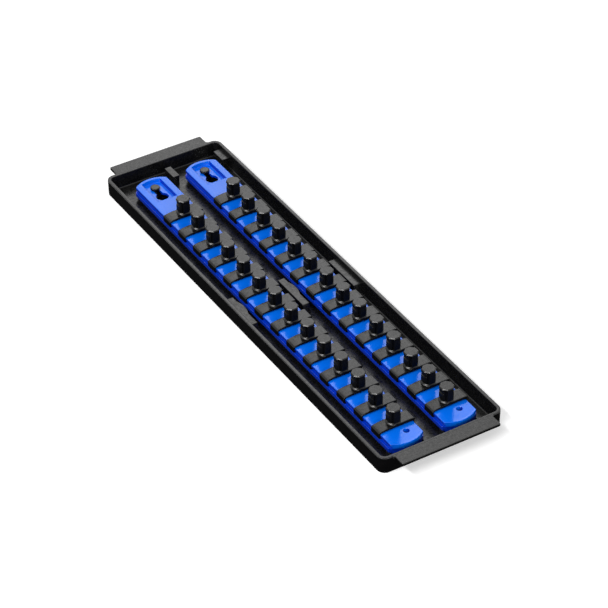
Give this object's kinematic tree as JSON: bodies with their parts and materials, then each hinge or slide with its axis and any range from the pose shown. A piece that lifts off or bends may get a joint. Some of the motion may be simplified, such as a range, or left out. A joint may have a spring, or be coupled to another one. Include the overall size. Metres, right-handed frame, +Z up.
{
  "type": "socket tray",
  "caption": "Shallow moulded tray with removable rails whose sliding clips carry octagonal twist-lock posts for holding sockets.",
  "frame": {"origin": "middle of the tray's underside, which is the bottom centre of the whole object", "axes": "+X along the tray, from the keyhole end to the plain end; +Y across it to the right rail; +Z up"},
  "size_m": [0.515, 0.125, 0.0339],
  "materials": {
    "tray_plastic": "black moulded plastic, fine satin texture",
    "pin_plastic": "black moulded plastic, smooth",
    "rail_plastic": "saturated blue moulded plastic, glossy",
    "clip_plastic": "black nylon, satin tops and glossier walls"
  },
  "bodies": {
    "tray_base": {"tray": "tray_plastic", "pin_left": "pin_plastic", "pin_right": "pin_plastic"},
    "left_rail": {"rail_left": "rail_plastic"},
    "right_rail": {"rail_right": "rail_plastic"},
    "left_clip_01": {"clip_left_01": "clip_plastic"},
    "left_clip_02": {"clip_left_02": "clip_plastic"},
    "left_clip_03": {"clip_left_03": "clip_plastic"},
    "left_clip_04": {"clip_left_04": "clip_plastic"},
    "left_clip_05": {"clip_left_05": "clip_plastic"},
    "left_clip_06": {"clip_left_06": "clip_plastic"},
    "left_clip_07": {"clip_left_07": "clip_plastic"},
    "left_clip_08": {"clip_left_08": "clip_plastic"},
    "left_clip_09": {"clip_left_09": "clip_plastic"},
    "left_clip_10": {"clip_left_10": "clip_plastic"},
    "left_clip_11": {"clip_left_11": "clip_plastic"},
    "left_clip_12": {"clip_left_12": "clip_plastic"},
    "left_clip_13": {"clip_left_13": "clip_plastic"},
    "left_clip_14": {"clip_left_14": "clip_plastic"},
    "right_clip_01": {"clip_right_01": "clip_plastic"},
    "right_clip_02": {"clip_right_02": "clip_plastic"},
    "right_clip_03": {"clip_right_03": "clip_plastic"},
    "right_clip_04": {"clip_right_04": "clip_plastic"},
    "right_clip_05": {"clip_right_05": "clip_plastic"},
    "right_clip_06": {"clip_right_06": "clip_plastic"},
    "right_clip_07": {"clip_right_07": "clip_plastic"},
    "right_clip_08": {"clip_right_08": "clip_plastic"},
    "right_clip_09": {"clip_right_09": "clip_plastic"},
    "right_clip_10": {"clip_right_10": "clip_plastic"},
    "right_clip_11": {"clip_right_11": "clip_plastic"},
    "right_clip_12": {"clip_right_12": "clip_plastic"},
    "right_clip_13": {"clip_right_13": "clip_plastic"},
    "right_clip_14": {"clip_right_14": "clip_plastic"}
  },
  "joints": [
    {"name": "left_rail_unlock", "type": "slide", "parent": "tray_base", "child": "left_rail", "axis": [-1, 0, 0], "range_m": [0, 0.014]},
    {"name": "right_rail_unlock", "type": "slide", "parent": "tray_base", "child": "right_rail", "axis": [-1, 0, 0], "range_m": [0, 0.014]},
    {"name": "left_clip_01_slide", "type": "slide", "parent": "left_rail", "child": "left_clip_01", "axis": [1, 0, 0], "range_m": [-0.022, 0.0074]},
    {"name": "left_clip_02_slide", "type": "slide", "parent": "left_rail", "child": "left_clip_02", "axis": [1, 0, 0], "range_m": [-0.0074, 0.0074]},
    {"name": "left_clip_03_slide", "type": "slide", "parent": "left_rail", "child": "left_clip_03", "axis": [1, 0, 0], "range_m": [-0.0074, 0.0074]},
    {"name": "left_clip_04_slide", "type": "slide", "parent": "left_rail", "child": "left_clip_04", "axis": [1, 0, 0], "range_m": [-0.0074, 0.0074]},
    {"name": "left_clip_05_slide", "type": "slide", "parent": "left_rail", "child": "left_clip_05", "axis": [1, 0, 0], "range_m": [-0.0074, 0.0074]},
    {"name": "left_clip_06_slide", "type": "slide", "parent": "left_rail", "child": "left_clip_06", "axis": [1, 0, 0], "range_m": [-0.0074, 0.0074]},
    {"name": "left_clip_07_slide", "type": "slide", "parent": "left_rail", "child": "left_clip_07", "axis": [1, 0, 0], "range_m": [-0.0074, 0.0074]},
    {"name": "left_clip_08_slide", "type": "slide", "parent": "left_rail", "child": "left_clip_08", "axis": [1, 0, 0], "range_m": [-0.0074, 0.0074]},
    {"name": "left_clip_09_slide", "type": "slide", "parent": "left_rail", "child": "left_clip_09", "axis": [1, 0, 0], "range_m": [-0.0074, 0.0074]},
    {"name": "left_clip_10_slide", "type": "slide", "parent": "left_rail", "child": "left_clip_10", "axis": [1, 0, 0], "range_m": [-0.0074, 0.0074]},
    {"name": "left_clip_11_slide", "type": "slide", "parent": "left_rail", "child": "left_clip_11", "axis": [1, 0, 0], "range_m": [-0.0074, 0.0074]},
    {"name": "left_clip_12_slide", "type": "slide", "parent": "left_rail", "child": "left_clip_12", "axis": [1, 0, 0], "range_m": [-0.0074, 0.0074]},
    {"name": "left_clip_13_slide", "type": "slide", "parent": "left_rail", "child": "left_clip_13", "axis": [1, 0, 0], "range_m": [-0.0074, 0.0074]},
    {"name": "left_clip_14_slide", "type": "slide", "parent": "left_rail", "child": "left_clip_14", "axis": [1, 0, 0], "range_m": [-0.0074, 0.014]},
    {"name": "right_clip_01_slide", "type": "slide", "parent": "right_rail", "child": "right_clip_01", "axis": [1, 0, 0], "range_m": [-0.022, 0.0074]},
    {"name": "right_clip_02_slide", "type": "slide", "parent": "right_rail", "child": "right_clip_02", "axis": [1, 0, 0], "range_m": [-0.0074, 0.0074]},
    {"name": "right_clip_03_slide", "type": "slide", "parent": "right_rail", "child": "right_clip_03", "axis": [1, 0, 0], "range_m": [-0.0074, 0.0074]},
    {"name": "right_clip_04_slide", "type": "slide", "parent": "right_rail", "child": "right_clip_04", "axis": [1, 0, 0], "range_m": [-0.0074, 0.0074]},
    {"name": "right_clip_05_slide", "type": "slide", "parent": "right_rail", "child": "right_clip_05", "axis": [1, 0, 0], "range_m": [-0.0074, 0.0074]},
    {"name": "right_clip_06_slide", "type": "slide", "parent": "right_rail", "child": "right_clip_06", "axis": [1, 0, 0], "range_m": [-0.0074, 0.0074]},
    {"name": "right_clip_07_slide", "type": "slide", "parent": "right_rail", "child": "right_clip_07", "axis": [1, 0, 0], "range_m": [-0.0074, 0.0074]},
    {"name": "right_clip_08_slide", "type": "slide", "parent": "right_rail", "child": "right_clip_08", "axis": [1, 0, 0], "range_m": [-0.0074, 0.0074]},
    {"name": "right_clip_09_slide", "type": "slide", "parent": "right_rail", "child": "right_clip_09", "axis": [1, 0, 0], "range_m": [-0.0074, 0.0074]},
    {"name": "right_clip_10_slide", "type": "slide", "parent": "right_rail", "child": "right_clip_10", "axis": [1, 0, 0], "range_m": [-0.0074, 0.0074]},
    {"name": "right_clip_11_slide", "type": "slide", "parent": "right_rail", "child": "right_clip_11", "axis": [1, 0, 0], "range_m": [-0.0074, 0.0074]},
    {"name": "right_clip_12_slide", "type": "slide", "parent": "right_rail", "child": "right_clip_12", "axis": [1, 0, 0], "range_m": [-0.0074, 0.0074]},
    {"name": "right_clip_13_slide", "type": "slide", "parent": "right_rail", "child": "right_clip_13", "axis": [1, 0, 0], "range_m": [-0.0074, 0.0074]},
    {"name": "right_clip_14_slide", "type": "slide", "parent": "right_rail", "child": "right_clip_14", "axis": [1, 0, 0], "range_m": [-0.0074, 0.014]}
  ]
}
